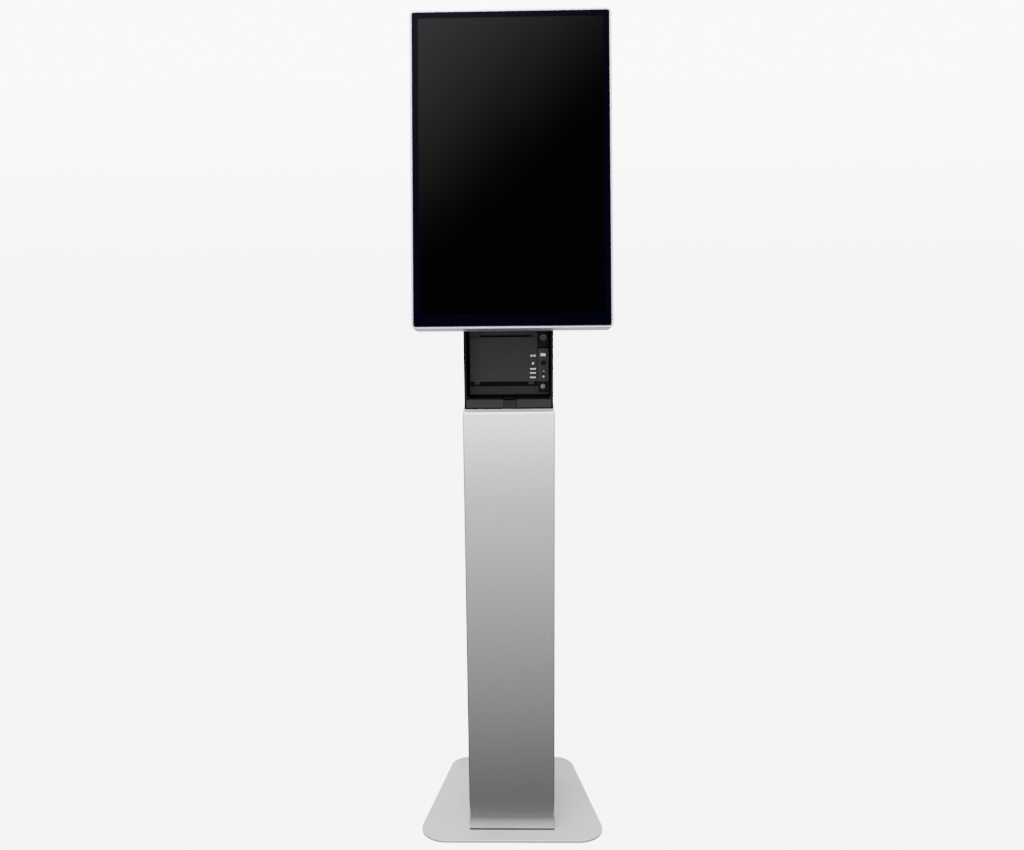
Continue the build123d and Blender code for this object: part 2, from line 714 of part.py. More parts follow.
with BuildPart() as upper_bezel:
    block((printer_left + 0.2, door_right), (printer_front, printer_front + 9.6),
          (cover_z[1] + 0.6, printer_top))
    fillet(faces().sort_by(Axis.Y)[0].edges().filter_by(Axis.X).sort_by(Axis.Z)[-1], 1.2)
    block((-50, 41), (printer_front + 2.6, printer_front + 8), (cover_z[1], 901.7), CUT)
    block(slot_x, (printer_front - 1, printer_front + 3), (cover_z[1], cover_z[1] + 3.8), CUT)
save(upper_bezel.part, "upper_bezel")

with BuildPart() as cutter_blade:
    block((-44, 35), (printer_front + 4.4, printer_front + 5.4), (896.4, 901.2))
save(cutter_blade.part, "cutter_blade")

with BuildPart() as control_strip:
    block((strip_left, printer_right - 0.2), (strip_front, strip_back), (815.6, 872.6))
    fillet(faces().sort_by(Axis.Y)[0].edges(), 0.5)
    rod_y(*feed_spot, 4.3, (strip_front, strip_back), CUT)
save(control_strip.part, "control_strip")

with BuildPart() as feed_button:
    rod_y(*feed_spot, 4.0, (strip_front - 0.8, strip_back + 0.2))
    fillet(faces().sort_by(Axis.Y)[0].edges(), 0.5)
    rod_y(*feed_spot, 5.2, (strip_back + 0.2, strip_back + 1.4))
save(feed_button.part, "feed_button")

with BuildPart() as power_button:
    rod_y(*power_spot, 4.3, (printer_front + 1.2, printer_front + 6.6))
    fillet(faces().sort_by(Axis.Y)[0].edges(), 0.6)
    rod_y(*power_spot, 5.3, (printer_front + 6.6, printer_front + 7.8))
save(power_button.part, "power_button")

with BuildPart() as lock_knob:
    rod_y(*lock_spot, 6.4, (printer_front + 0.6, printer_front + 7.7))
    fillet(faces().sort_by(Axis.Y)[0].edges(), 0.7)
    rod_y(*lock_spot, 3.0, (printer_front + 7.7, printer_front + 11))
    block((lock_spot[0] - 0.8, lock_spot[0] + 0.8), (printer_front, printer_front + 3.5),
          (lock_spot[1] - 3.2, lock_spot[1] + 3.2), CUT)
save(lock_knob.part, "lock_knob")


def gear_face(teeth, y, z):
    """Sketch of a small spur gear centred on (y, z)."""
    pitch_radius = teeth * gear_module / 2
    tip = pitch_radius + 0.75 * gear_module
    root = pitch_radius - 1.1 * gear_module
    step = 2 * pi / teeth
    outline = []
    for tooth in range(teeth):
        for share, radius in ((-0.29, root), (-0.13, tip), (0.13, tip), (0.29, root)):
            angle = (tooth + share) * step
            outline.append((y + radius * cos(angle), z + radius * sin(angle)))
    with BuildLine() as edge:
        Polyline(*outline, close=True)
    make_face(edge.edges())


with BuildPart() as platen_roller:
    rod_x(platen_y, platen_z, shaft_radius, (-49.5, gear_x[1] + 1))
    rod_x(platen_y, platen_z, platen_radius, (-42, 34))
save(platen_roller.part, "platen_roller")

with BuildPart() as platen_gear:
    with BuildSketch(Plane.YZ.offset(gear_x[0])):
        gear_face(platen_teeth, platen_y, platen_z)
        with Locations((platen_y, platen_z)):
            Circle(shaft_radius + 0.02, mode=CUT)
    extrude(amount=gear_x[1] - gear_x[0])
save(platen_gear.part, "platen_gear")

with BuildPart() as motor_pinion:
    with BuildSketch(Plane.YZ.offset(gear_x[0])):
        gear_face(pinion_teeth, pinion_y, platen_z)
    extrude(amount=gear_x[1] - gear_x[0])
    rod_x(pinion_y, platen_z, 1.2, (gear_x[1], 53))
save(motor_pinion.part, "motor_pinion")

with BuildPart() as feed_motor:
    rod_x(pinion_y, platen_z, 9.8, (50, 66.5))
    fillet(edges().filter_by(GeomType.CIRCLE).group_by(Axis.X)[0], 0.8)
    rod_x(pinion_y, platen_z, 1.25, (50, 53.5), CUT)
save(feed_motor.part, "feed_motor")

with BuildPart() as paper_roll:
    rod_x(roll_y, roll_z, 37.5, roll_x)
    rod_x(roll_y, roll_z, 6.5, roll_x, CUT)
save(paper_roll.part, "paper_roll")

with BuildPart() as printer_board:
    block((-60, 62), (50, 51.6), (800, 896))
    block((-18, 10), (51.6, printer_back - 0.4), (807, 819))
    for x, z in ((-40, 880), (20, 870), (40, 840)):
        block((x - 8, x + 8), (51.6, 54), (z - 8, z + 8))
save(printer_board.part, "printer_board")

# ---- Cables held inside the column ------------------------------------------------------------------
cable_radius = 2.5


def corner_radii(points):
    """The largest arc that each corner's two runs leave room for."""
    places = [Vector(*point) for point in points]
    radii = []
    for before, here, after in zip(places, places[1:], places[2:]):
        shorter = min((here - before).length, (after - here).length)
        half_turn = radians((here - before).get_angle(after - here)) / 2
        radii.append(0.45 * shorter / tan(half_turn))
    return radii


def cable(points, label):
    """Round cable along straight runs joined by tangent arcs."""
    radii = corner_radii(points)
    with BuildPart() as tube:
        with BuildLine() as path:
            FilletPolyline(*points, radius=radii)
        with BuildSketch(Plane(origin=path.line @ 0, z_dir=path.line % 0)):
            Circle(cable_radius)
        sweep(path=path.line)
    length = sum(edge.length for edge in path.edges())
    print(label, "length", round(length, 1), "smallest radius", round(min(radii), 1),
          "volume / section x length", round(tube.part.volume / (pi * cable_radius**2 * length), 4))
    save(tube.part, label)


plug_length = 14.0
screen_y, screen_z = on_display(139, plug_length)
behind_y, behind_z = on_display(139, plug_length + 26)
drop_y = (printer_back + panel_front) / 2
signal_x = -28.0
supply_x = 20.0
pc_cable_y = mount_back + 20

signal_end = signal_x - 8
supply_end = supply_x + 8
cable([
    (signal_x, screen_y, screen_z), (signal_x, behind_y, behind_z), (signal_x, 12, 1018),
    (signal_x, 48, 968), (signal_x - 4, drop_y, 912), (signal_x - 6, drop_y + 0.5, 852),
    (signal_x - 4, drop_y, 792), (signal_x - 6, drop_y - 3, 742), (signal_x - 8, 44, 706),
    (signal_end, 4, 696), (signal_end, -40, 700), (signal_end, pc_cable_y, 690),
    (signal_end, pc_cable_y, pc_z[1] + plug_length),
], "signal_cable")

cable([
    (supply_x, screen_y, screen_z), (supply_x, behind_y, behind_z), (supply_x, 12, 1018),
    (supply_x, 48, 968), (supply_x + 6, drop_y, 912), (supply_x + 8, drop_y + 0.5, 852),
    (supply_x + 6, drop_y, 792), (supply_x + 8, drop_y - 3, 742), (supply_x + 10, 44, 694),
    (supply_x + 10, 14, 648), (supply_x + 10, -8, 596), (supply_x + 10, -26, 546),
    (supply_end, -56, 514), (supply_end, pc_cable_y, 496), (supply_end, pc_cable_y,
    supply_z[1] + plug_length),
], "display_power_cable")

cable([
    (inlet_x, column_back - 24 - plug_length, inlet_z), (inlet_x, 16, inlet_z), (inlet_x, -14, 60),
    (inlet_x, -38, 90), (inlet_x + 2, -54, 132), (inlet_x + 2, -68, 180),
    (inlet_x, pc_cable_y, 232), (inlet_x, pc_cable_y, supply_z[0] - plug_length),
], "inlet_cable")

with BuildPart() as cable_plugs:
    for x in (signal_x, supply_x):
        slab((column_x + x - 7, column_x + x + 7), (134.5, 143.5),
             (display_depth, display_depth + plug_length), 2)
    for x, z in ((signal_end, pc_z[1]), (supply_end, supply_z[1]), (inlet_x, supply_z[0] - plug_length)):
        block((x - 7, x + 7), (pc_cable_y - 4.5, pc_cable_y + 4.5), (z, z + plug_length))
    block((inlet_x - 7, inlet_x + 7), (column_back - 24 - plug_length, column_back - 24),
          (inlet_z - 5, inlet_z + 5))
save(cable_plugs.part, "cable_plugs")
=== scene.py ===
import math

import bmesh
import bpy
from mathutils import Matrix, Vector


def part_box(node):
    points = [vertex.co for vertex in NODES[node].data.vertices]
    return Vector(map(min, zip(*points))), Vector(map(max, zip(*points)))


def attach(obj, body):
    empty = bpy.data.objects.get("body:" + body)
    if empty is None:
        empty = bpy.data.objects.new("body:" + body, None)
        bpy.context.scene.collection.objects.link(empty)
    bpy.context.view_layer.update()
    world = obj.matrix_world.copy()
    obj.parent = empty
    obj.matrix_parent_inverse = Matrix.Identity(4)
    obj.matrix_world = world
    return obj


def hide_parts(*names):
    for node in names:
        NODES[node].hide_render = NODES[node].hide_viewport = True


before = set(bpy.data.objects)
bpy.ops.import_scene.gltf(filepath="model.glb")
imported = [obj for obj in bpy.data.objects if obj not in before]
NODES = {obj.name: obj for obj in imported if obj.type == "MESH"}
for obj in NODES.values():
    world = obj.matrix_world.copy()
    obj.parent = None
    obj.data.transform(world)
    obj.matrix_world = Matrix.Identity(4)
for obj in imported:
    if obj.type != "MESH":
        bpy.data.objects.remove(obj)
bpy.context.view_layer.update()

# The touchscreen kiosk in a plain pale studio. Metres, +Z up, the screen faces -Y.

MM = 0.001

# Most of a noise pattern lies between these two values
NOISE_LOW = 0.3
NOISE_HIGH = 0.7

# Cosine between a face's normal and the rounded one: where an edge begins to show, and where it fully does
EDGE_BEGINS = 0.999
EDGE_FULL = 0.93


# ---- Small helpers for shader graphs -------------------------------------------------------
class NodeTree:
    """An emptied node tree, with short calls that add nodes to it."""

    def __init__(self, owner):
        owner.use_nodes = True
        self.tree = owner.node_tree
        self.tree.nodes.clear()

    def node(self, kind, inputs=None, **settings):
        """Add a node, set its properties, and fill or link its inputs by name or number."""
        made = self.tree.nodes.new(kind)
        for key, value in settings.items():
            setattr(made, key, value)
        for key, value in (inputs or {}).items():
            if isinstance(value, bpy.types.NodeSocket):
                self.tree.links.new(value, made.inputs[key])
            else:
                made.inputs[key].default_value = value
        return made

    def math(self, operation, first, second=0.0):
        """One arithmetic step."""
        return self.node("ShaderNodeMath", {0: first, 1: second}, operation=operation).outputs[0]

    def plus(self, first, second):
        """Sum of two values."""
        return self.math("ADD", first, second)

    def times(self, first, second):
        """Product of two values."""
        return self.math("MULTIPLY", first, second)

    def remap(self, value, low, high, to_low, to_high, shape="LINEAR"):
        """Map a value from one range to another, held at both ends."""
        inputs = {0: value, 1: low, 2: high, 3: to_low, 4: to_high}
        return self.node("ShaderNodeMapRange", inputs, clamp=True, interpolation_type=shape).outputs[0]


class Graph(NodeTree):
    """A material's node tree, with the patterns that the kiosk's surfaces use."""

    def __init__(self, name, **uniform):
        self.material = bpy.data.materials.new(name)
        super().__init__(self.material)
        self.shader = self.node("ShaderNodeBsdfPrincipled")
        self.node("ShaderNodeOutputMaterial", {0: self.shader.outputs[0]})
        for socket, value in uniform.items():
            self.shader.inputs[socket.replace("_", " ")].default_value = value
        self.place = self.node("ShaderNodeTexCoord").outputs["Object"]

    def link(self, source, socket):
        """Feed one of the shader's own sockets."""
        self.tree.links.new(source, self.shader.inputs[socket])

    def stretched(self, x, y, z):
        """Object coordinates scaled differently along each axis."""
        return self.node("ShaderNodeMapping", {"Vector": self.place, "Scale": (x, y, z)}).outputs[0]

    def noise(self, scale, detail=2.0, rough=0.5, vector=None):
        """Noise value, 0 to 1."""
        inputs = {"Vector": vector or self.place, "Scale": scale, "Detail": detail, "Roughness": rough}
        return self.node("ShaderNodeTexNoise", inputs).outputs["Fac"]

    def cells(self, scale, feature="F1", vector=None):
        """Distance to the nearest point or border of a cell pattern."""
        inputs = {"Vector": vector or self.place, "Scale": scale}
        return self.node("ShaderNodeTexVoronoi", inputs, feature=feature).outputs["Distance"]

    def spread(self, noise, to_low=0.0, to_high=1.0):
        """Stretch the middle of a noise pattern over a whole range."""
        return self.remap(noise, NOISE_LOW, NOISE_HIGH, to_low, to_high)

    def mix(self, factor, first, second):
        """Blend two colours."""
        made = self.node("ShaderNodeMix", data_type="RGBA")
        for socket, value in zip((made.inputs[0], made.inputs[6], made.inputs[7]), (factor, first, second)):
            if isinstance(value, bpy.types.NodeSocket):
                self.tree.links.new(value, socket)
            else:
                socket.default_value = value
        return made.outputs[2]

    def vector_math(self, operation, first, second=(0.0, 0.0, 0.0), output="Vector"):
        """One arithmetic step on vectors."""
        inputs = {0: first, 1: second}
        return self.node("ShaderNodeVectorMath", inputs, operation=operation).outputs[output]

    def bump(self, height, distance, strength):
        """Bump from a height value; distance is in metres."""
        inputs = {"Height": height, "Distance": distance, "Strength": strength}
        return self.node("ShaderNodeBump", inputs).outputs[0]

    def normal(self):
        """The face's own normal."""
        return self.node("ShaderNodeNewGeometry").outputs["Normal"]

    def edges(self, width):
        """1 on outer edges narrower than the width, 0 on flat faces."""
        rounded = self.node("ShaderNodeBevel", {"Radius": width}, samples=4).outputs[0]
        same = self.vector_math("DOT_PRODUCT", rounded, self.normal(), "Value")
        return self.remap(same, EDGE_BEGINS, EDGE_FULL, 0.0, 1.0)

    def upward(self, low, high):
        """1 on faces that look up, 0 on walls: where dust and stray light settle."""
        rise = self.node("ShaderNodeSeparateXYZ", {0: self.normal()}).outputs["Z"]
        return self.remap(rise, low, high, 0.0, 1.0)

    def coordinate(self, axis):
        """One of the object coordinates, in metres."""
        return self.node("ShaderNodeSeparateXYZ", {0: self.place}).outputs[axis]


def grey(value, tint=(1.0, 1.0, 1.0)):
    """Colour of an even grey with a slight tint."""
    return (value * tint[0], value * tint[1], value * tint[2], 1.0)


# ---- Materials --------------------------------------------------------------------------------
# Where the painted contact shadow's soft edge begins and ends, outward from the standing node's side, front
# and back
FOOTPRINT_SIDE = (-0.8 * MM, -0.2 * MM)
FOOTPRINT_FRONT = (3.6 * MM, 1.0 * MM)
FOOTPRINT_BACK = (-0.4 * MM, 0.2 * MM)


def painted_foot_shade(g, node):
    """Painted contact shadow: 1 under a node that stands on a plate and in a thin line in front of it, 0
    elsewhere.
    """
    low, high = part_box(node)
    sides, fronts, backs = FOOTPRINT_SIDE, FOOTPRINT_FRONT, FOOTPRINT_BACK
    beside = g.math("ABSOLUTE", g.coordinate("X"))
    across = g.remap(beside, high.x + sides[0], high.x + sides[1], 1, 0)
    past_front = g.remap(g.coordinate("Y"), low.y - fronts[0], low.y - fronts[1], 0, 1)
    before_back = g.remap(g.coordinate("Y"), high.y + backs[0], high.y + backs[1], 1, 0)
    return g.times(across, g.times(past_front, before_back))


def powder_coat(name, value, rough, metallic=0.0, wear=0.25, specular=0.5, sides=1.0, footprint=None):
    """Powder-coated sheet: orange-peel texture, faint patches, and brighter worn edges.

    sides darkens the faces that do not look up, such as a plate's cut edge, as painted shade.
    footprint names a node that stands on the plate. The plate is dark under it and in a thin line in
    front of it, as painted contact shadow. Wear of 0 leaves the edges as they are.
    """
    g = Graph(name, Metallic=metallic, Specular_IOR_Level=specular)
    peel = g.noise(900, detail=3, rough=0.6)
    patch = g.noise(9, detail=4, rough=0.55)
    painted_shade = grey(0.012)
    colour = g.mix(g.spread(patch), grey(value * 0.93), grey(value * 1.05))
    # painted shade: faces that do not look up are darker than the top
    if sides < 1.0:
        colour = g.mix(g.upward(0.3, 0.8), grey(value * sides), colour)
    # painted contact shadow under the standing node and in a thin line in front of it
    if footprint:
        colour = g.mix(painted_foot_shade(g, footprint), colour, painted_shade)
    if wear:
        rubbed = g.remap(g.noise(60, detail=4, rough=0.7), 0.45, 0.7, 0, wear)
        colour = g.mix(g.times(g.edges(1.2 * MM), rubbed), colour, grey(value * 1.8 + 0.06))
    g.link(colour, "Base Color")
    g.link(g.spread(patch, rough - 0.04, rough + 0.06), "Roughness")
    g.link(g.bump(peel, 0.06 * MM, strength=0.6), "Normal")
    return g.material


def satin_silver():
    """Silver metallic coat of the column: fine flakes and mottling, a dusty ledge and a band of painted
    shade at its foot.
    """
    g = Graph("satin_silver", Specular_IOR_Level=0.5)
    flakes = g.cells(2600)
    mottle = g.noise(420, detail=4, rough=0.7)
    cloud = g.noise(6, detail=3, rough=0.5, vector=g.stretched(1, 1, 0.35))
    worn_and_highlight_metal = grey(0.75)
    painted_shade = grey(0.17)
    dust = grey(0.62)
    height = g.coordinate("Z")

    tone = g.plus(g.times(mottle, 0.55), g.times(flakes, 0.45))
    colour = g.mix(g.remap(tone, 0.25, 0.62, 0, 1), grey(0.52), grey(0.61))
    colour = g.mix(g.spread(cloud, 0, 0.35), colour, grey(0.54))
    # lighter edges: partly wear, partly painted highlight, as along the ledge's front edge
    rubbed = g.remap(g.noise(40, detail=3, rough=0.7), 0.4, 0.7, 0.1, 0.5)
    colour = g.mix(g.times(g.edges(0.9 * MM), rubbed), colour, worn_and_highlight_metal)
    # painted shade is darkest from 24 to 27 mm above the floor, and fades out below and above
    shade_rise_from_plate = g.remap(height, 9 * MM, 24 * MM, 0.05, 0.72)
    shade_fade_upward = g.remap(height, 27 * MM, 36 * MM, 1.0, 0.0)
    colour = g.mix(g.times(shade_rise_from_plate, shade_fade_upward), colour, painted_shade)
    dusty = g.upward(0.55, 0.95)
    g.link(g.mix(dusty, colour, dust), "Base Color")

    g.link(g.remap(dusty, 0, 1, 0.985, 0.5), "Metallic")
    satin = g.plus(g.spread(mottle, 0.15, 0.165), g.remap(height, 20 * MM, 70 * MM, 0.06, 0.0))
    g.link(g.plus(satin, g.remap(dusty, 0, 1, 0, 0.27)), "Roughness")
    g.link(g.bump(mottle, 0.002 * MM, strength=0.3), "Normal")
    return g.material


def brushed_metal(name, value, rough):
    """Bare or plated metal with fine brushing along X and a few handling marks."""
    g = Graph(name, Metallic=1.0)
    lines = g.noise(70, detail=3, rough=0.6, vector=g.stretched(1, 60, 60))
    marks = g.noise(45, detail=4, rough=0.6)
    g.link(g.mix(g.spread(lines), grey(value * 0.86), grey(value * 1.06)), "Base Color")
    g.link(g.spread(marks, rough - 0.06, rough + 0.1), "Roughness")
    g.link(g.bump(lines, 0.03 * MM, strength=0.5), "Normal")
    return g.material


def spark_eroded(g, value, tint, roughness, wear):
    """Give a plastic its spark-eroded texture and uneven sheen, and return its colour with rubbed edges.

    roughness is the range that the sheen covers.
    """
    spark = g.cells(1500)
    sheen = g.noise(30, detail=3, rough=0.6)
    colour = g.mix(g.spread(sheen), grey(value * 0.88, tint), grey(value * 1.1, tint))
    # rubbed edges; with the control strip's high wear they are partly painted highlight
    rubbed = g.remap(g.noise(140, detail=3, rough=0.6), 0.35, 0.7, 0.05, wear)
    g.link(g.spread(sheen, *roughness), "Roughness")
    g.link(g.bump(spark, 0.07 * MM, strength=0.5), "Normal")
    return g.mix(g.times(g.edges(0.5 * MM), rubbed), colour, grey(value * 2.6 + 0.02, tint))


def moulded(name, value, tint=(1, 1, 1), rough=0.4, wear=0.35, specular=0.25):
    """Moulded plastic with spark-eroded texture, uneven sheen and rubbed edges."""
    g = Graph(name, Specular_IOR_Level=specular)
    g.link(spark_eroded(g, value, tint, (rough - 0.05, rough + 0.08), wear), "Base Color")
    return g.material


def charcoal_with_painted_shade(name, node, value, depth):
    """Charcoal front faces of a node, and painted shade, near black, further in than the given depth."""
    g = Graph(name, Specular_IOR_Level=0.08)
    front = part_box(node)[0].y
    cool = (0.97, 0.98, 1.04)
    outside = spark_eroded(g, value, cool, (0.5, 0.62), wear=0.25)
    # painted shade: faces deeper than the given depth behind the node's front are near black, where its
    # recesses lie in shade
    painted_recess_shade = g.remap(g.coordinate("Y"), front + depth, front + depth + MM, 0, 1)
    g.link(g.mix(painted_recess_shade, outside, grey(0.003)), "Base Color")
    return g.material


def rubber(name, value, rough):
    """Matt rubber with a fine dusty bloom."""
    g = Graph(name, Specular_IOR_Level=0.35)
    dust = g.noise(220, detail=4, rough=0.6)
    g.link(g.mix(g.remap(dust, 0.4, 0.8, 0, 0.5), grey(value), grey(value * 2.2)), "Base Color")
    g.link(g.spread(dust, rough - 0.08, rough + 0.1), "Roughness")
    g.link(g.bump(dust, 0.08 * MM, strength=0.5), "Normal")
    return g.material


def circuit_board():
    """Green solder mask with lighter copper tracks under it, and small dark parts."""
    g = Graph("circuit_board", Specular_IOR_Level=0.5, Roughness=0.35)
    mask_green = (0.006, 0.06, 0.025, 1)
    track_green = (0.02, 0.16, 0.06, 1)
    tracks = g.remap(g.cells(260, "DISTANCE_TO_EDGE", g.stretched(1, 1, 0.35)), 0.05, 0.09, 1, 0)
    parts = g.remap(g.noise(90), 0.6, 0.64, 0, 1)
    g.link(g.mix(parts, g.mix(tracks, mask_green, track_green), grey(0.02)), "Base Color")
    g.link(g.bump(g.plus(tracks, parts), 0.1 * MM, strength=0.6), "Normal")
    return g.material


def wound_paper():
    """A roll of thermal paper: white edge with rings of wound layers."""
    g = Graph("wound_paper", Roughness=0.8)
    low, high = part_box("paper_roll")
    middle = (low + high) / 2
    away = g.vector_math("ADD", g.place, (0, -middle.y, -middle.z))
    from_axis = g.vector_math("MULTIPLY", away, (0, 1, 1))
    reach = g.vector_math("LENGTH", from_axis, output="Value")
    # a ring each 0.7 mm
    rings = g.math("SINE", g.times(reach, 9000.0))
    fibre = g.noise(600, detail=4, rough=0.6)
    colour = g.mix(g.remap(rings, -1, 1, 0, 0.35), grey(0.84, (1, 1, 0.98)), grey(0.7, (1, 1, 0.97)))
    g.link(g.mix(g.remap(fibre, 0.4, 0.7, 0, 0.2), colour, grey(0.9)), "Base Color")
    g.link(g.bump(rings, 0.04 * MM, strength=0.4), "Normal")
    return g.material


def screen_ink():
    """Glass over near-black navy ink: the border of the cover glass."""
    g = Graph("screen_ink", Coat_Weight=0.1, Coat_Roughness=0.04, Coat_IOR=1.5, Specular_IOR_Level=0.0)
    speck = g.noise(400)
    g.link(g.mix(speck, (0.0004, 0.0004, 0.0024, 1), (0.0008, 0.0008, 0.0034, 1)), "Base Color")
    g.link(g.spread(speck, 0.5, 0.6), "Roughness")
    return g.material


def screen_panel():
    """Glass over the dark panel, whose own surface is matt and scatters a little light."""
    g = Graph("screen_panel", Coat_Weight=0.35, Coat_Roughness=0.06, Coat_IOR=1.5, Specular_IOR_Level=0.0)
    grid = g.cells(3200)
    cloud = g.noise(14)
    g.link(g.mix(grid, grey(0.0002), grey(0.0006)), "Base Color")
    g.link(g.spread(cloud, 0.34, 0.38), "Roughness")
    g.link(g.bump(grid, 0.01 * MM, strength=0.3), "Normal")
    return g.material


def ground_glass():
    """The cover glass's ground edge: satin, and lighter than the ink behind it."""
    g = Graph("ground_glass", Specular_IOR_Level=0.3)
    grain = g.noise(1200, detail=3)
    cool = (1, 1, 1.1)
    g.link(g.mix(grain, grey(0.03, cool), grey(0.06, cool)), "Base Color")
    g.link(g.spread(grain, 0.45, 0.6), "Roughness")
    g.link(g.bump(grain, 0.01 * MM, strength=0.3), "Normal")
    return g.material


def housing_metal():
    """Fine satin anodised aluminium with a cool, slightly lilac cast."""
    g = Graph("housing_metal", Metallic=0.8)
    fine = g.noise(500, detail=4, rough=0.6, vector=g.stretched(0.15, 1, 1))
    cloud = g.noise(12, detail=3)
    lilac = (0.94, 0.935, 1.08)
    g.link(g.mix(g.spread(fine), grey(0.55, lilac), grey(0.65, lilac)), "Base Color")
    g.link(g.spread(cloud, 0.36, 0.44), "Roughness")
    g.link(g.bump(fine, 0.03 * MM, strength=0.5), "Normal")
    return g.material


def printed(name, value):
    """Screen-printed ink or a small paper label."""
    g = Graph(name, Roughness=0.55)
    speck = g.noise(900, detail=3)
    g.link(g.mix(g.remap(speck, 0.35, 0.7, 0, 1), grey(value * 0.85), grey(value)), "Base Color")
    g.link(g.bump(speck, 0.03 * MM, strength=0.4), "Normal")
    return g.material


# Paints, metals, plastics and rubbers
# base_paint: painted contact shadow at the column's foot, and painted shade on the plate's sides
base_paint = powder_coat("base_paint", 0.36, rough=0.42, metallic=0.25, sides=0.66,
                         footprint="column_cover")
black_paint = powder_coat("black_paint", 0.004, rough=0.5, wear=0.0, specular=0.06)
case_black = powder_coat("case_black", 0.016, rough=0.4, metallic=0.5)
zinc = brushed_metal("zinc_steel", 0.55, rough=0.32)
dark_steel = brushed_metal("dark_steel", 0.12, rough=0.35)
bright_alu = brushed_metal("bright_aluminium", 0.68, rough=0.35)
dark_plastic = moulded("dark_plastic", 0.014, rough=0.5)
# strip_plastic's strong wear lightens its edges: partly wear, partly painted highlight along the strip's
# right edge
strip_plastic = moulded("strip_plastic", 0.02, (0.97, 0.97, 1.08), rough=0.45, wear=0.8, specular=0.12)
button_black = moulded("button_black", 0.002, wear=0.0, specular=0.05)
knob_grey = moulded("knob_grey", 0.09)
lock_black = moulded("lock_black", 0.02, rough=0.35, wear=0.3, specular=0.15)
latch_dark = moulded("latch_dark", 0.006, (1.04, 0.96, 1.0), wear=0.6, specular=0.1)
gear_plastic = moulded("gear_plastic", 0.62, (1, 1, 0.95), rough=0.45, wear=0.1)
ground_rubber = rubber("ground_rubber", 0.03, rough=0.7)
cable_jacket = rubber("cable_jacket", 0.012, rough=0.5)

# Which material each CAD node wears
WEARS = {
    base_paint: ["base_plate"],
    satin_silver(): ["column_cover"],
    black_paint: ["column_foot", "frame_side_left", "frame_side_right", "bay_floor", "bay_roof", "bay_back",
                  "neck_cover", "inlet_panel", "rear_door", "display_bracket"],
    zinc: ["foot_bolts", "mounting_plate", "vesa_screws", "bracket_bolts", "slide_channels", "slide_runners",
           "lock_housing", "lock_barrel", "lock_cam", "cutter_blade", "feed_motor"],
    dark_steel: ["hinge_frame_leaves", "hinge_door_leaves", "hinge_pins"],
    dark_plastic: ["mains_inlet", "display_back", "cable_plugs", "speakers", "computer_fan",
                   "mains_switch"],
    # charcoal with painted shade in the recesses of these nodes
    charcoal_with_painted_shade("cover_shell", "roll_cover", 0.022, 0.55 * MM): ["roll_cover"],
    charcoal_with_painted_shade("printer_shell", "printer_base", 0.014, 0.7 * MM): ["printer_base"],
    charcoal_with_painted_shade("bezel_shell", "upper_bezel", 0.018, 0.7 * MM): ["upper_bezel"],
    charcoal_with_painted_shade("tray_painted_shade", "printer_tray", 0.015, 2.6 * MM): ["printer_tray"],
    strip_plastic: ["control_strip"],
    button_black: ["feed_button", "display_button", "lcd_panel", "cover_hinge_pin"],
    knob_grey: ["power_button"],
    lock_black: ["lock_knob"],
    latch_dark: ["tray_latch"],
    circuit_board(): ["display_board", "printer_board"],
    bright_alu: ["board_heatsink", "thermal_head", "power_supply"],
    case_black: ["computer"],
    gear_plastic: ["platen_gear", "motor_pinion"],
    ground_rubber: ["platen_roller", "base_pads"],
    wound_paper(): ["paper_roll"],
    cable_jacket: ["signal_cable", "display_power_cable", "inlet_cable"],
    housing_metal(): ["display_housing"],
}
for finish, names in WEARS.items():
    for name in names:
        mesh = NODES[name].data
        mesh.materials.clear()
        mesh.materials.append(finish)


# ---- The cover glass, with its printed border ------------------------------------------------
SCREEN_TILT = math.radians(13.0)
GLASS_WIDTH = 317.0 * MM
GLASS_HEIGHT = 505.0 * MM
GLASS_THICKNESS = 3.0 * MM
GLASS_CORNER = 4.0 * MM
CORNER_STEPS = 8
GROUND_EDGE = 1.0 * MM
# The lit area: its width, and its lower and upper edge above the glass's lower edge
LIT_WIDTH = 296.1 * MM
LIT_LOW = 20.6 * MM
LIT_HIGH = 494.4 * MM
# Places of the panel's and the ground edge's material on the glass; the ink's is 0
PANEL = 1
GROUND = 2


def display_frame():
    """Origin at the middle of the glass's lower front edge, and its across, up and out axes."""
    low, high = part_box("cover_glass")
    across = Vector((1, 0, 0))
    up = Vector((0, math.sin(SCREEN_TILT), math.cos(SCREEN_TILT)))
    out = Vector((0, -math.cos(SCREEN_TILT), math.sin(SCREEN_TILT)))
    origin = Vector(((low.x + high.x) / 2, low.y, low.z + GLASS_THICKNESS * math.sin(SCREEN_TILT)))
    return origin, across, up, out


def rounded_rectangle(x0, x1, y0, y1, radius):
    """Outline points of a rounded rectangle, counter-clockwise from the lower right arc."""
    points = []
    for cx, cy, start in ((x1 - radius, y0 + radius, -90), (x1 - radius, y1 - radius, 0),
                          (x0 + radius, y1 - radius, 90), (x0 + radius, y0 + radius, 180)):
        for step in range(CORNER_STEPS + 1):
            angle = math.radians(start + 90 * step / CORNER_STEPS)
            points.append((cx + radius * math.cos(angle), cy + radius * math.sin(angle)))
    return points


def make_object(name, mesh_maker, materials):
    """A new mesh object filled by mesh_maker(bm), with these materials."""
    bm = bmesh.new()
    mesh_maker(bm)
    bmesh.ops.recalc_face_normals(bm, faces=bm.faces)
    mesh = bpy.data.meshes.new(name)
    bm.to_mesh(mesh)
    bm.free()
    made = bpy.data.objects.new(name, mesh)
    bpy.context.scene.collection.objects.link(made)
    for item in materials:
        mesh.materials.append(item)
    return made


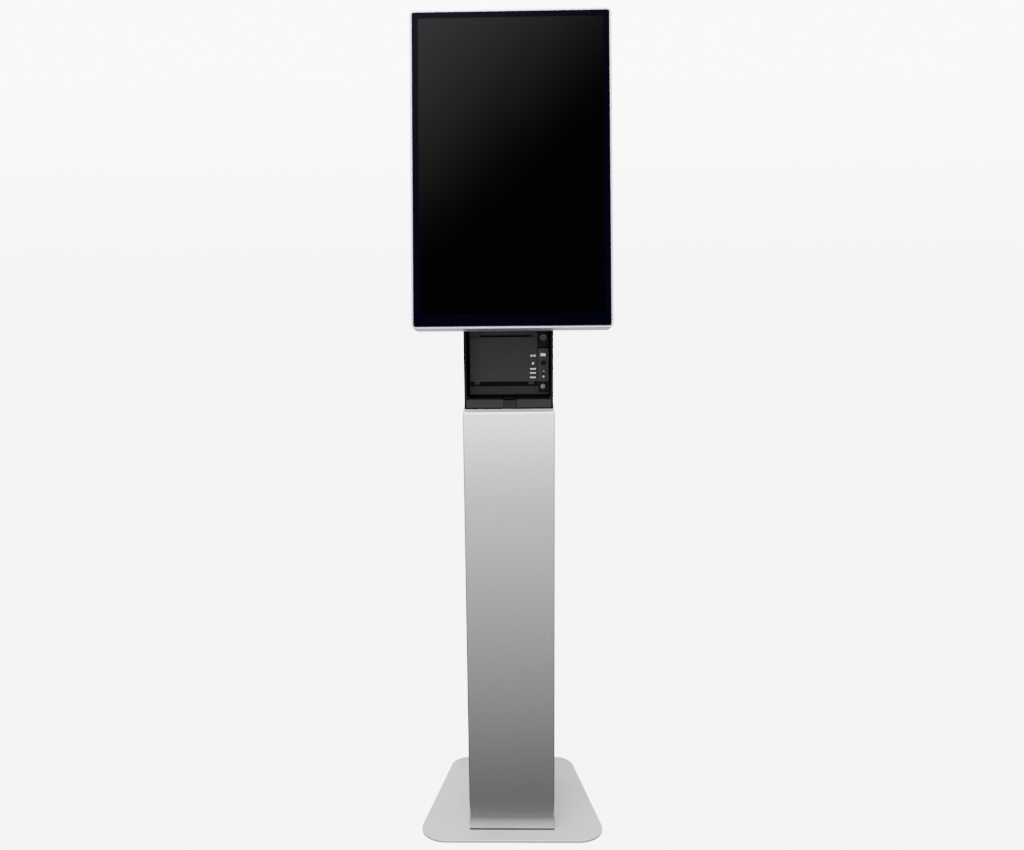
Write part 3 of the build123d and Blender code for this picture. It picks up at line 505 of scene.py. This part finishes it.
def build_glass(bm):
    """Sheet of glass with ground edges; the front face is split where the lit area begins."""
    origin, across, up, out = display_frame()
    ease = GROUND_EDGE
    # how far in, and how deep, each outline of the sheet lies, from the front face to the back
    profile = ((ease, 0.0), (0.25 * ease, 0.25 * ease), (0.0, ease), (0.0, GLASS_THICKNESS - ease),
               (ease, GLASS_THICKNESS))
    rings = []
    for inset, depth in profile:
        outline = rounded_rectangle(-GLASS_WIDTH / 2 + inset, GLASS_WIDTH / 2 - inset, inset,
                                    GLASS_HEIGHT - inset, GLASS_CORNER - inset)
        rings.append([bm.verts.new(origin + across * x + up * y - out * depth) for x, y in outline])
    for first, second in zip(rings, rings[1:]):
        count = len(first)
        for i in range(count):
            following = (i + 1) % count
            edge = bm.faces.new((first[i], first[following], second[following], second[i]))
            edge.material_index = GROUND
    bm.faces.new(reversed(rings[-1]))

    half = LIT_WIDTH / 2
    lit_corners = ((half, LIT_LOW), (half, LIT_HIGH), (-half, LIT_HIGH), (-half, LIT_LOW))
    corners = [bm.verts.new(origin + across * x + up * y) for x, y in lit_corners]
    front = rings[0]
    points_per_arc = CORNER_STEPS + 1
    for k, corner in enumerate(corners):
        arc = front[k * points_per_arc:(k + 1) * points_per_arc]
        for i in range(CORNER_STEPS):
            bm.faces.new((arc[i], arc[i + 1], corner))
        next_arc_start = front[((k + 1) * points_per_arc) % len(front)]
        bm.faces.new((arc[-1], next_arc_start, corners[(k + 1) % 4], corner))
    bm.faces.new(corners).material_index = PANEL


screen_glass = make_object("screen_glass", build_glass, [screen_ink(), screen_panel(), ground_glass()])
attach(screen_glass, "kiosk")
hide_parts("cover_glass")


# ---- Camera -------------------------------------------------------------------------------------
CAMERA_PLACE = Vector((0.012, -1.985, 1.169))
CAMERA_YAW = math.radians(1.65)
CAMERA_PITCH = math.radians(12.52)
CAMERA_ROLL = math.radians(-0.75)
CAMERA_SHIFT = 0.0277
CAMERA_REACH = 60
LENS = 40.50
SENSOR_WIDTH = 36


def add_camera():
    """Camera at the height of the screen's middle, looking slightly down."""
    ahead = Vector((-math.sin(CAMERA_YAW) * math.cos(CAMERA_PITCH),
                    math.cos(CAMERA_YAW) * math.cos(CAMERA_PITCH), -math.sin(CAMERA_PITCH)))
    level = Vector((math.cos(CAMERA_YAW), math.sin(CAMERA_YAW), 0))
    upright = level.cross(ahead)
    right = level * math.cos(CAMERA_ROLL) + upright * math.sin(CAMERA_ROLL)
    top = upright * math.cos(CAMERA_ROLL) - level * math.sin(CAMERA_ROLL)
    data = bpy.data.cameras.new("camera")
    data.lens = LENS
    data.sensor_width = SENSOR_WIDTH
    data.shift_x = CAMERA_SHIFT
    data.clip_end = CAMERA_REACH
    camera = bpy.data.objects.new("camera", data)
    turn = Matrix((right, top, -ahead)).transposed()
    camera.matrix_world = Matrix.Translation(CAMERA_PLACE) @ turn.to_4x4()
    bpy.context.scene.collection.objects.link(camera)
    bpy.context.scene.camera = camera


add_camera()


# ---- Studio ------------------------------------------------------------------------------------
BACKGROUND = 7.3

FLOOR_FRONT = -30.0
FLOOR_BACK = 4.0
COVE_RADIUS = 3.0
WALL_TOP = 9.0
HALF_WIDTH = 40.0
# Between these two heights the wall brightens, from the first to the second amount over the background
WALL_RISE = (0.4, 1.8)
WALL_EXTRA = (-0.4, 2.6)
# Between these distances from the middle it fades into the background, so that side views don't show its end
WALL_FADE = (5.5, 12.0)


def add_floor():
    """Pale floor that curves up into a wall far behind. The kiosk neither mirrors it nor is lit by it."""
    def sweep(bm):
        profile = [(FLOOR_FRONT, 0.0), (FLOOR_BACK, 0.0)]
        for degrees in range(10, 91, 10):
            turn = math.radians(degrees)
            profile.append((FLOOR_BACK + COVE_RADIUS * math.sin(turn),
                            COVE_RADIUS - COVE_RADIUS * math.cos(turn)))
        profile.append((FLOOR_BACK + COVE_RADIUS, WALL_TOP))
        left, right = [[bm.verts.new((x, y, z)) for y, z in profile] for x in (-HALF_WIDTH, HALF_WIDTH)]
        for i in range(len(profile) - 1):
            bm.faces.new((left[i], right[i], right[i + 1], left[i + 1]))

    g = Graph("studio_floor", Roughness=0.9, Specular_IOR_Level=0.1)
    g.shader.inputs["Emission Color"].default_value = grey(1.0)
    g.link(g.mix(g.noise(2.0), grey(0.14), grey(0.16)), "Base Color")
    extra = g.remap(g.coordinate("Z"), *WALL_RISE, *WALL_EXTRA)
    near_middle = g.remap(g.math("ABSOLUTE", g.coordinate("X")), *WALL_FADE, 1.0, 0.0)
    g.link(g.plus(BACKGROUND, g.times(extra, near_middle)), "Emission Strength")
    floor = make_object("studio_floor", sweep, [g.material])
    for polygon in floor.data.polygons:
        polygon.use_smooth = True
    floor.visible_glossy = False
    floor.visible_diffuse = False


add_floor()

# Strength of the surroundings by height, as (sine of the elevation, strength). The column's front mirrors
# those from -0.52 to -0.24, which were set one by one until its shading matched the photograph.
BRIGHTNESS = ((-1.0, 0.35), (-0.70, 0.25), (-0.54, 0.15), (-0.50, 0.14), (-0.474, 0.27), (-0.438, 0.41),
              (-0.40, 0.53), (-0.36, 0.74), (-0.32, 0.95), (-0.28, 1.10), (-0.238, 1.16), (-0.20, 4.6),
              (-0.17, 6.0), (0.0, 5.6), (0.35, 3.6), (1.0, 3.0))
BRIGHTEST = 6.0
# The dark flag in front: the height of its middle, its radius, and where its soft rim lies, in radii
FLAG_HEIGHT = 0.435
FLAG_RADIUS = 0.2
FLAG_RIM = (0.85, 1.4)
# The glow grows upwards and to the left, over this range of the weighted sum of both
GLOW_SIDE_WEIGHT = -3.22
GLOW_HEIGHT_WEIGHT = 4.1
GLOW_RANGE = (1.70, 2.68)
GLOW_STRENGTH = 3.2
# Light from the pale floor behind
FLOOR_GLOW = 1.1


def add_world():
    """Soft studio surroundings, brightest near the horizon and in front, and dim low down.

    A direction's parts are sideways (+X), backwards (+Y) and height (+Z), each from -1 to 1.
    """
    world = bpy.data.worlds.new("studio")
    bpy.context.scene.world = world
    g = NodeTree(world)
    direction = g.node("ShaderNodeTexCoord").outputs["Generated"]
    sideways, backwards, height = g.node("ShaderNodeSeparateXYZ", {0: direction}).outputs

    ramp = g.node("ShaderNodeValToRGB", {0: g.remap(height, -1.0, 1.0, 0.0, 1.0)})
    elements = ramp.color_ramp.elements
    while len(elements) < len(BRIGHTNESS):
        elements.new(0.5)
    for element, (sine, strength) in zip(elements, BRIGHTNESS):
        element.position = (sine + 1) / 2
        level = strength / BRIGHTEST
        element.color = (level, level, level, 1)

    # the wall in front is the brightest, the sides and the back are half as bright
    aside = g.remap(g.math("ABSOLUTE", sideways), 0.25, 0.7, 1.0, 0.5, "SMOOTHSTEP")
    rear = g.remap(backwards, -0.3, 0.3, 1.0, 0.5)
    walls = g.times(ramp.outputs[0], g.times(g.math("MINIMUM", aside, rear), BRIGHTEST))

    # a dark flag in front, where the tilted screen looks, with a soft glow at its upper left
    off_side = g.math("POWER", g.math("DIVIDE", sideways, FLAG_RADIUS), 2.0)
    above = g.math("SUBTRACT", height, FLAG_HEIGHT)
    off_height = g.math("POWER", g.math("DIVIDE", above, FLAG_RADIUS), 2.0)
    distance = g.math("SQRT", g.plus(off_side, off_height))
    outside_flag = g.remap(distance, *FLAG_RIM, 0.0, 1.0, "SMOOTHSTEP")
    behind = g.remap(backwards, -0.2, 0.1, 0.0, 1.0)
    walls = g.times(walls, g.math("MAXIMUM", outside_flag, behind))
    slope = g.plus(g.times(sideways, GLOW_SIDE_WEIGHT), g.times(height, GLOW_HEIGHT_WEIGHT))
    glow = g.remap(slope, *GLOW_RANGE, 0.0, GLOW_STRENGTH, "SMOOTHSTEP")

    # light from the pale floor behind, which reaches the undersides
    low_down = g.remap(height, -0.1, -0.3, 0.0, 1.0)
    far_back = g.remap(backwards, 0.0, 0.3, 0.0, FLOOR_GLOW)
    around = g.math("MAXIMUM", g.math("MAXIMUM", walls, glow), g.times(low_down, far_back))

    # the camera sees an even background
    seen = g.node("ShaderNodeLightPath").outputs["Is Camera Ray"]
    strength = g.node("ShaderNodeMix", {0: seen, 2: around, 3: BACKGROUND}, data_type="FLOAT").outputs[0]
    shade = g.node("ShaderNodeBackground", {"Color": (1, 1, 1, 1), "Strength": strength})
    g.node("ShaderNodeOutputWorld", {0: shade.outputs[0]})


add_world()


def add_soft_box(name, place, target, size, power):
    """A square area light."""
    data = bpy.data.lights.new(name, "AREA")
    data.size = size
    data.energy = power
    lamp = bpy.data.objects.new(name, data)
    lamp.location = place
    lamp.rotation_euler = (Vector(target) - Vector(place)).to_track_quat("-Z", "Y").to_euler()
    bpy.context.scene.collection.objects.link(lamp)


add_soft_box("key", place=(-0.4, -1.6, 3.6), target=(0, 0, 0.8), size=1.8, power=205)


# ---- Printed marks on the printer, without any lettering ------------------------------------
# X and Z of the marks are in millimetres
MARK_DEPTH = 0.15 * MM
MARK_PROUD = 0.1 * MM
DOT_SIDES = 24

LAMP_MIDDLES = (39.0, 44.2)
LAMP_HALF_WIDTH = 1.9
LAMP_BAND = (858.6, 861.4)
DROP_PLACE = (41.4, 847.0)
DROP_RADIUS = 1.9
BAR_ENDS = (36.5, 46.3)
BAR_MIDDLES = (837.6, 830.5, 822.7)
BAR_HALF_HEIGHT = 1.1

LABEL = ((54.3, 62.7), (859.2, 863.8))
DASH = ((58.6, 60.6), (833.0, 833.8))
STRIP_MIDDLE = 59.3
STRIP_DOT = (824.2, 1.3)
STRIP_LENS = (829.0, 1.5)


def plate(bm, x, z, front):
    """A thin raised rectangle: x and z are (low, high) in millimetres, front is its Y in metres."""
    corners = [(x[i] * MM, y, z[k] * MM) for y in (front, front + MARK_DEPTH)
               for i, k in ((0, 0), (1, 0), (1, 1), (0, 1))]
    v = [bm.verts.new(corner) for corner in corners]
    for a, b, c, d in ((0, 1, 2, 3), (7, 6, 5, 4), (0, 4, 5, 1), (1, 5, 6, 2), (2, 6, 7, 3), (3, 7, 4, 0)):
        bm.faces.new((v[a], v[b], v[c], v[d]))


def dot(bm, x, z, radius, front):
    """A thin raised disc: its centre and radius are in millimetres, front is its Y in metres."""
    turns = [2 * math.pi * i / DOT_SIDES for i in range(DOT_SIDES)]
    rings = []
    for y in (front, front + MARK_DEPTH):
        rings.append([bm.verts.new((x * MM + radius * MM * math.cos(turn), y,
                                    z * MM + radius * MM * math.sin(turn))) for turn in turns])
    bm.faces.new(rings[0])
    bm.faces.new(reversed(rings[1]))
    for i in range(DOT_SIDES):
        j = (i + 1) % DOT_SIDES
        bm.faces.new((rings[0][i], rings[1][i], rings[1][j], rings[0][j]))


def face_of(node):
    """Y of the front of marks that are printed on a node's front face."""
    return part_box(node)[0].y - MARK_PROUD


def cover_marks(bm):
    """Column of pictograms on the roll cover: two lamps, a drop, and three bars."""
    front = face_of("roll_cover")
    for x in LAMP_MIDDLES:
        plate(bm, (x - LAMP_HALF_WIDTH, x + LAMP_HALF_WIDTH), LAMP_BAND, front)
    dot(bm, *DROP_PLACE, DROP_RADIUS, front)
    for z in BAR_MIDDLES:
        plate(bm, BAR_ENDS, (z - BAR_HALF_HEIGHT, z + BAR_HALF_HEIGHT), front)


def strip_marks(bm):
    """White label and a small pictogram on the control strip."""
    front = face_of("control_strip")
    plate(bm, *LABEL, front)
    plate(bm, *DASH, front)
    dot(bm, STRIP_MIDDLE, *STRIP_DOT, front)


def strip_lens(bm):
    """Dark indicator window on the control strip."""
    dot(bm, STRIP_MIDDLE, *STRIP_LENS, face_of("control_strip"))


for name, maker, finish, body, slot in (
        ("cover_marks", cover_marks, printed("mark_ink", 0.50), "paper_cover", "printer_dark"),
        ("strip_marks", strip_marks, printed("label_white", 0.80), "tray", "strip_dark"),
        ("strip_lens", strip_lens, button_black, "tray", "button_dark")):
    mark = make_object(name, maker, [finish])
    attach(mark, body)
